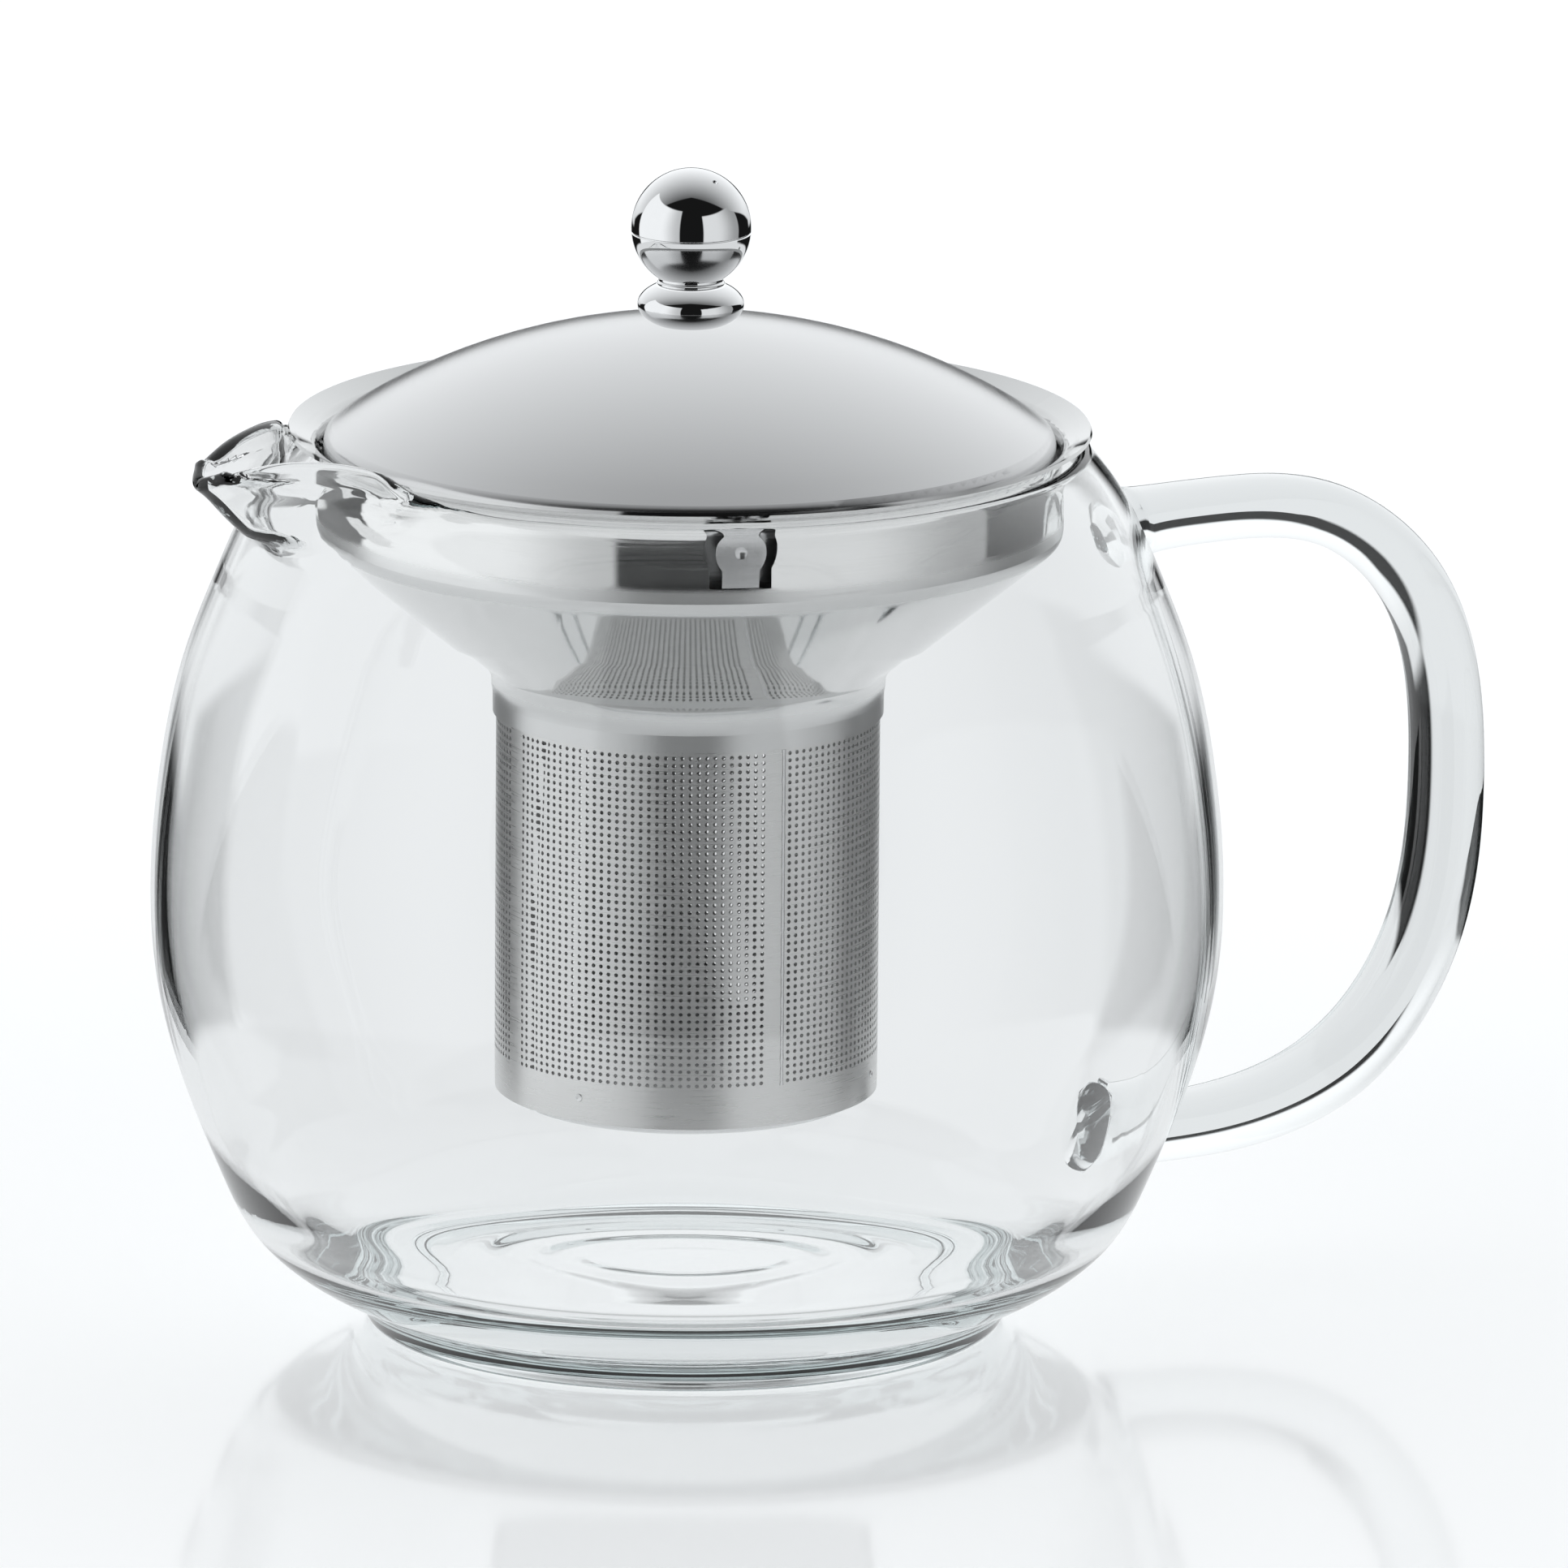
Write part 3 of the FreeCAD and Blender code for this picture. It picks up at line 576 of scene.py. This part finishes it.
def column_angles():
    """Angles round the pot, closer together at the spout and at the handle."""
    from_spout = np.concatenate([np.arange(*steps) for steps in COLUMN_STEPS])
    one_side = (180 - from_spout)[::-1]
    return np.radians(np.concatenate([-one_side[::-1], [0], one_side, [180]]))


def degrees_from_spout(angles):
    return np.abs(np.abs(np.degrees(angles)) - 180)


def spout_share(angles, width_deg):
    """How far each direction reaches into the spout: 1 at its middle, falling off at both sides."""
    off = degrees_from_spout(angles)
    off = np.sqrt(off ** 2 + SPOUT_NOSE_DEG ** 2) - SPOUT_NOSE_DEG
    return np.exp(-(off / width_deg) ** SPOUT_SHAPE)


def spout_reach(height):
    t = np.clip((height - SPOUT_START_Z) / (SPOUT_FULL_Z - SPOUT_START_Z), 0, SPOUT_OVERRUN)
    return SPOUT_LENGTH * t * smooth(t, -0.02, 0.35)


def spout_width(height):
    t = np.clip((height - SPOUT_START_Z) / (SPOUT_FULL_Z - SPOUT_START_Z), 0, 1)
    return SPOUT_THROAT_DEG + (SPOUT_WIDTH_DEG - SPOUT_THROAT_DEG) * t


def lip_height(angles, outside):
    """Height of the glass edge: raised at both sides of the spout and dipping at its tip."""
    off = degrees_from_spout(angles)
    side = outside * np.sin(np.radians(off))
    line = cubic_line(LIP_HEIGHTS, 0.25)
    raised = np.interp(side, line[:, 0], line[:, 1], right=RIM_TOP) - RIM_TOP
    return np.where(off < 90, RIM_TOP + raised, RIM_TOP)


def shoulder_rows(angles, count):
    """Rows of the wall's outside from the shoulder up to where its edge begins to round."""
    outline = cubic_line(BODY_OUTLINE, 0.2)
    off = degrees_from_spout(angles)
    raised = 1 - smooth(off, *LIP_SIDES_DEG)

    def outside(z):
        radius = np.interp(z, outline[:, 1], outline[:, 0])
        radius = radius + spout_reach(z) * spout_share(angles, spout_width(z))
        lean = np.maximum(LIP_RAISED_R - radius, 0) * smooth(z, *LEAN_Z)
        return radius + lean * raised

    top = lip_height(angles, outside(np.full_like(angles, RIM_TOP))) - WALL / 2
    rows = []
    for t in 1 - (1 - np.linspace(0, 1, count)) ** SHOULDER_CROWDING:
        z = SHOULDER_Z + (top - SHOULDER_Z) * t
        r = outside(z)
        rows.append(np.stack([r * np.cos(angles), r * np.sin(angles), z], axis=-1))
    return np.array(rows)


def inward_normals(rows):
    """Unit normals into the glass of a grid of rows that run round the axis."""
    up = np.gradient(rows, axis=0)
    around = np.roll(rows, -1, axis=1) - np.roll(rows, 1, axis=1)
    normals = np.cross(up, around)
    return normals / np.linalg.norm(normals, axis=2)[:, :, None]


def spout_rows(angles, count):
    """The wall above the shoulder, one even sheet: up the outside, round its edge and down inside."""
    outside = shoulder_rows(angles, count)
    normals = inward_normals(outside)
    radius = np.hypot(outside[:, :, 0], outside[:, :, 1])
    outward = outside[:, :, :2] / radius[:, :, None]
    if (normals[0, :, :2] * outward[0]).sum() > 0:
        normals = -normals
    inside = outside + WALL * normals
    edge_out, edge_in, inward = outside[-1], inside[-1], normals[-1]
    around = np.roll(edge_out, -1, axis=0) - np.roll(edge_out, 1, axis=0)
    upward = np.cross(around, inward)
    upward /= np.linalg.norm(upward, axis=1)[:, None]
    upward *= np.sign(upward[:, 2])[:, None]
    middle = (edge_out + edge_in) / 2
    rows = list(outside[:-1])
    for a in np.linspace(0, math.pi, EDGE_ROWS):
        rows.append(middle - inward * WALL / 2 * math.cos(a) + upward * WALL / 2 * math.sin(a))
    rows += list(inside[:-1][::-1])
    return rows


def clear_of_flange(points):
    """Keeps the glass out of the room that the infuser's flange takes above the rim."""
    radius = np.hypot(points[:, 0], points[:, 1])
    inner = smooth(points[:, 2], RIM_TOP - 0.1, RIM_TOP + 0.5) * (radius < FLANGE_CLEAR_R)
    scale = 1 + inner * (FLANGE_CLEAR_R / radius - 1)
    moved = points.copy()
    moved[:, :2] *= scale[:, None]
    return moved


def level_rings(outline, angles):
    return [np.stack([r * np.cos(angles), r * np.sin(angles), np.full_like(angles, z)], axis=-1)
            for r, z in outline]


def pot_shell():
    """The whole glass body as one closed skin: foot, wall, rim with spout, inside and floor."""
    angles = column_angles()
    foot = cubic_line(FOOT_OUTLINE, FOOT_SPACING)
    outline = cubic_line(BODY_OUTLINE, BODY_SPACING)
    outline = outline[outline[:, 1] < SHOULDER_Z - 0.5]
    inner = cubic_line(INSIDE_OUTLINE, INSIDE_SPACING)[::-1]
    under = [(r, UNDERSIDE_Z) for r in FLOOR_RING_RADII]
    floor = [(r, FLOOR_Z) for r in FLOOR_RING_RADII[::-1]]
    rings = level_rings(under + foot[:-1].tolist() + outline.tolist(), angles)
    rings += spout_rows(angles, SHOULDER_ROWS)
    rings += level_rings(inner[1:].tolist() + floor, angles)
    grid = clear_of_flange(np.concatenate(rings))
    grid[:, 2] = np.maximum(grid[:, 2], 0)
    faces = ring_faces(len(rings), len(angles))
    low, high = len(grid), len(grid) + 1
    grid = np.vstack([grid, [[0, 0, UNDERSIDE_Z], [0, 0, FLOOR_Z]]])
    last = (len(rings) - 1) * len(angles)
    for i in range(len(angles)):
        j = (i + 1) % len(angles)
        faces.append([low, j, i])
        faces.append([high, last + i, last + j])
    return grid, faces


HANDLE_PATH = [
    (58.0, 106.6), (66.0, 108.1), (80.0, 109.1), (97.5, 107.3), (111.2, 96.6), (117.5, 68.0),
    (113.6, 43.8), (100.3, 26.9), (82.0, 20.8), (68.0, 20.3), (58.0, 20.9),
]
HANDLE_SIDES = 56
HANDLE_FLATNESS = 0.84
# Shares of the rod's length, and its size across there.
ROD_THICK = ([0, 0.15, 0.45, 0.75, 0.9, 1], [8.8, 8.7, 9.9, 10.6, 9.4, 9.2])
ROD_WIDE = ([0, 0.2, 0.5, 0.8, 1], [11.6, 11.4, 11.8, 12.0, 11.6])
FLARE_MORE = 0.30
FLARE_REACH = 2.6
ROOT_DEPTH = 1.2
BURIED = -0.3


def flattened(wave):
    """A sine or cosine raised so that the two of them make an oval with slight flats."""
    return np.sign(wave) * np.abs(wave) ** HANDLE_FLATNESS


def handle_skin():
    """Solid oval rod with ends that widen where they melt into the wall."""
    path = cubic_line(HANDLE_PATH, 1.2)
    along = np.gradient(path, axis=0)
    along /= np.linalg.norm(along, axis=1)[:, None]
    length = np.concatenate([[0], np.cumsum(np.linalg.norm(np.diff(path, axis=0), axis=1))])
    share = length / length[-1]
    thick = np.interp(share, *ROD_THICK)
    wide = np.interp(share, *ROD_WIDE)
    outline = cubic_line(BODY_OUTLINE, 0.5)
    wall = np.interp(path[:, 1], outline[:, 1], outline[:, 0])
    clear = path[:, 0] - wall
    flare = 1 + FLARE_MORE * np.exp(-np.clip(clear, 0, None) / FLARE_REACH)
    angles = np.linspace(0, 2 * math.pi, HANDLE_SIDES, endpoint=False)
    rings = []
    for k in range(len(path)):
        up = np.array([-along[k][1], along[k][0]])
        lift = flattened(np.cos(angles)) * thick[k] / 2 * flare[k]
        side = flattened(np.sin(angles)) * wide[k] / 2 * flare[k]
        rings.append(np.stack([path[k][0] + up[0] * lift, side, path[k][1] + up[1] * lift], axis=-1))
    rings = snap_end(rings, outline)
    rings = snap_end(rings[::-1], outline)
    grid = np.concatenate(rings)
    faces = ring_faces(len(rings), HANDLE_SIDES)
    for start in (0, (len(rings) - 1) * HANDLE_SIDES):
        centre = len(grid)
        ring = grid[start:start + HANDLE_SIDES]
        grid = np.vstack([grid, ring.mean(axis=0)])
        grid[centre] = on_wall(grid[centre:centre + 1], outline, ROOT_DEPTH)[0]
        for i in range(HANDLE_SIDES):
            j = (i + 1) % HANDLE_SIDES
            edge = [start + j, start + i] if start == 0 else [start + i, start + j]
            faces.append([centre] + edge)
    return grid, faces


def on_wall(points, outline, depth):
    """Points moved along X to lie the given depth inside the pot's outer surface."""
    radius = np.interp(points[:, 2], outline[:, 1], outline[:, 0]) - depth
    moved = points.copy()
    moved[:, 0] = np.sqrt(radius ** 2 - points[:, 1] ** 2)
    return moved


def snap_end(rings, outline):
    """Drops the rings that lie wholly in the wall and ends the rod half way through the glass."""
    kept = []
    for ring in rings:
        radius = np.interp(ring[:, 2], outline[:, 1], outline[:, 0])
        outside = np.hypot(ring[:, 0], ring[:, 1]) - radius
        if outside.min() > BURIED:
            kept.append(ring)
    end = on_wall(kept[0], outline, ROOT_DEPTH)
    return [end] + kept


def join_solids(first, second):
    """The exact union of two closed pieces, left in the first one."""
    cut = first.modifiers.new("union", "BOOLEAN")
    cut.operation = "UNION"
    cut.solver = "EXACT"
    cut.object = second
    depsgraph = bpy.context.evaluated_depsgraph_get()
    mesh = bpy.data.meshes.new_from_object(first.evaluated_get(depsgraph))
    first.modifiers.clear()
    first.data = mesh
    bpy.data.objects.remove(second)
    return first


def face_outwards(piece):
    shape = bmesh.new()
    shape.from_mesh(piece.data)
    bmesh.ops.recalc_face_normals(shape, faces=shape.faces)
    shape.to_mesh(piece.data)
    shape.free()


def make_glass(material):
    pot = mesh_object("pot_glass", *pot_shell())
    rod = mesh_object("handle_rod", *handle_skin())
    face_outwards(pot)
    face_outwards(rod)
    pot = join_solids(pot, rod)
    pot.data.shade_smooth()
    pot.name = "pot_glass"
    return finish_piece(pot, "pot", material, "clear_glass", "glass_body", "glass_handle")


# ---------------------------------------------------------------- perforated sleeve

SLEEVE_R = 26.85
SLEEVE_SHEET = 0.35
SLEEVE_BOTTOM = 33.2
SLEEVE_TOP = 91.0
HOLE_R = 0.3
HOLE_COLUMNS = 34
HOLE_PITCH_DEG = 2.46
HOLE_ROWS = 48
HOLE_PITCH_Z = 1.04
FIRST_ROW_Z = 39.5
STRIP_POLAR_DEG = -86.4


def sleeve_lattice(first_edge_deg):
    """Angles of the cell edges and heights of the cell edges for one quarter of the sleeve."""
    holes_width = HOLE_COLUMNS * HOLE_PITCH_DEG
    plain = (90 - holes_width) / 2
    angles = [first_edge_deg, first_edge_deg + plain / 2]
    angles += [first_edge_deg + plain + i * HOLE_PITCH_DEG for i in range(HOLE_COLUMNS + 1)]
    angles += [first_edge_deg + 90 - plain / 2, first_edge_deg + 90]
    first = FIRST_ROW_Z - HOLE_PITCH_Z / 2
    heights = [SLEEVE_BOTTOM, SLEEVE_BOTTOM + 3.0]
    heights += [first + j * HOLE_PITCH_Z for j in range(HOLE_ROWS + 1)]
    heights += [SLEEVE_TOP]
    return np.array(angles), np.array(heights)


def sleeve_quarter(name, first_edge_deg):
    """One quarter of the sleeve with its holes cut right through the sheet."""
    angles, heights = sleeve_lattice(first_edge_deg)
    wide, tall = len(angles) - 1, len(heights) - 1
    mid_angles = (angles[1:] + angles[:-1]) / 2
    mid_heights = (heights[1:] + heights[:-1]) / 2
    places = []
    keys = {}

    def vertex(key, angle, height):
        if key not in keys:
            keys[key] = len(places)
            places.append((angle, height))
        return keys[key]

    outer_faces = []
    hole_loops = []
    for i in range(wide):
        for j in range(tall):
            edge = [
                vertex((2 * i + di, 2 * j + dj),
                       (angles[i], mid_angles[i], angles[i + 1])[di],
                       (heights[j], mid_heights[j], heights[j + 1])[dj])
                for di, dj in ((2, 1), (2, 2), (1, 2), (0, 2), (0, 1), (0, 0), (1, 0), (2, 0))]
            holed = 2 <= i < wide - 2 and 2 <= j < tall - 1
            if holed:
                hole = []
                for k in range(8):
                    turn = k * math.pi / 4
                    angle = mid_angles[i] + math.degrees(HOLE_R * math.cos(turn) / SLEEVE_R)
                    hole.append(vertex(("h", i, j, k), angle, mid_heights[j] + HOLE_R * math.sin(turn)))
                for k in range(8):
                    m = (k + 1) % 8
                    outer_faces.append([edge[k], edge[m], hole[m], hole[k]])
                hole_loops.append(hole)
            else:
                centre = vertex(("c", i, j), mid_angles[i], mid_heights[j])
                for k in (0, 2, 4, 6):
                    outer_faces.append([centre, edge[k], edge[(k + 1) % 8], edge[(k + 2) % 8]])
    count = len(places)
    turn = np.radians([p[0] for p in places])
    height = np.array([p[1] for p in places])
    outer = np.stack([SLEEVE_R * np.cos(turn), SLEEVE_R * np.sin(turn), height], axis=-1)
    inside_r = SLEEVE_R - SLEEVE_SHEET
    inner = np.stack([inside_r * np.cos(turn), inside_r * np.sin(turn), height], axis=-1)
    faces = list(outer_faces)
    faces += [[v + count for v in reversed(face)] for face in outer_faces]
    for hole in hole_loops:
        for k in range(8):
            m = (k + 1) % 8
            faces.append([hole[k], hole[m], hole[m] + count, hole[k] + count])
    border = [keys[(a, 0)] for a in range(0, 2 * wide + 1)]
    border += [keys[(2 * wide, b)] for b in range(1, 2 * tall + 1)]
    border += [keys[(a, 2 * tall)] for a in range(2 * wide - 1, -1, -1)]
    border += [keys[(0, b)] for b in range(2 * tall - 1, 0, -1)]
    for a, b in zip(border, border[1:] + border[:1]):
        faces.append([b, a, a + count, b + count])
    return mesh_object(name, np.vstack([outer, inner]), faces, sharp_deg=50)


def make_sleeve(material):
    for quarter in range(4):
        name = "perforated_sleeve_%d" % (quarter + 1)
        piece = sleeve_quarter(name, STRIP_POLAR_DEG + 90 * quarter)
        finish_piece(piece, "infuser", material, "satin_steel", "perforated_sleeve")


# ---------------------------------------------------------------- weld marks

SEAM_POLAR_DEG = -84.1
SEAM_HALF_WIDTH = 0.28
SEAM_PROUD = 0.09
SEAM_BOTTOM = 38.9
SEAM_TOP = 87.0
SEAM_STEP = 0.5
SEAM_UNEVEN = 0.18
MARK_ROOT = 0.12
SPOT_R = 0.6
SPOT_PROUD = 0.14
SPOT_SIDES = 20
# A spot's rings from its root to its dished middle: share of its radius, and how proud.
SPOT_PROFILE = [(1.0, -MARK_ROOT), (1.0, 0.0), (0.85, SPOT_PROUD), (0.55, SPOT_PROUD), (0.35, 0.03)]
# Polar angle and height of each spot. The third, on the far side, is assumed.
SPOT_PLACES = [(-147.4, 36.6), (-39.2, 36.6), (74.0, 36.6)]


def on_sleeve(polar_deg, across, proud, height):
    """A point beside a line on the sleeve, standing proud of its outer surface."""
    angle = math.radians(polar_deg) + across / SLEEVE_R
    radius = SLEEVE_R + proud
    return (radius * math.cos(angle), radius * math.sin(angle), height)


def weld_seam():
    """The low bead of the weld that closes the rolled sleeve, slightly uneven in width."""
    heights = np.arange(SEAM_BOTTOM, SEAM_TOP, SEAM_STEP)
    turn = np.linspace(0, math.pi, 9)
    points = []
    for z in heights:
        width = SEAM_HALF_WIDTH * (1 + SEAM_UNEVEN * math.sin(z * 2.3) * math.sin(z * 0.7))
        section = [(width * math.cos(a), SEAM_PROUD * math.sin(a)) for a in turn]
        section += [(-width, -MARK_ROOT), (width, -MARK_ROOT)]
        points += [on_sleeve(SEAM_POLAR_DEG, across, proud, z) for across, proud in section]
    sides = len(turn) + 2
    faces = ring_faces(len(heights), sides)
    cap_ends(faces, len(points), sides)
    piece = mesh_object("weld_seam", points, faces, sharp_deg=50)
    face_outwards(piece)
    return piece


def spot_weld(number, polar_deg, height):
    """A flat button with a dished middle where the base is welded to the sleeve."""
    points = []
    for share, proud in SPOT_PROFILE:
        for k in range(SPOT_SIDES):
            turn = 2 * math.pi * k / SPOT_SIDES
            across = SPOT_R * share * math.cos(turn)
            points.append(on_sleeve(polar_deg, across, proud, height + SPOT_R * share * math.sin(turn)))
    faces = ring_faces(len(SPOT_PROFILE), SPOT_SIDES)
    cap_ends(faces, len(points), SPOT_SIDES)
    piece = mesh_object("spot_weld_%d" % number, points, faces, sharp_deg=50)
    face_outwards(piece)
    return piece


def make_welds(material):
    finish_piece(weld_seam(), "infuser", material, "satin_steel")
    for number, (polar_deg, height) in enumerate(SPOT_PLACES, start=1):
        finish_piece(spot_weld(number, polar_deg, height), "infuser", material, "satin_steel")


# ---------------------------------------------------------------- CAD nodes with better finishes

def dress(names, material):
    for name in names:
        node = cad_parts[name]
        node.data.materials.clear()
        node.data.materials.append(material)


make_camera()
make_world()
make_floor()
scene = bpy.context.scene
scene.view_settings.view_transform = "Standard"
scene.cycles.max_bounces = 24
scene.cycles.transmission_bounces = 24
scene.cycles.glossy_bounces = 8

make_glass(glass_material())
make_sleeve(sleeve_steel())
polished = funnel_steel()
satin = satin_steel()
make_welds(satin)
mirror = mirror_steel()
dress(["infuser_funnel"], polished)
dress(["spring_tab_1", "spring_tab_2", "spring_tab_3"], satin)
dress(["sleeve_base", "lid_dome", "lid_locating_ring", "lid_washer", "lid_screw", "knob_insert"], satin)
knob_nodes = ["knob_foot", "knob_neck", "knob_lower_shell", "knob_upper_shell"]
dress(knob_nodes, mirror)
# The satin lid shows no image of its knob.
for name in knob_nodes + ["knob_insert", "lid_screw"]:
    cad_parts[name].visible_glossy = False
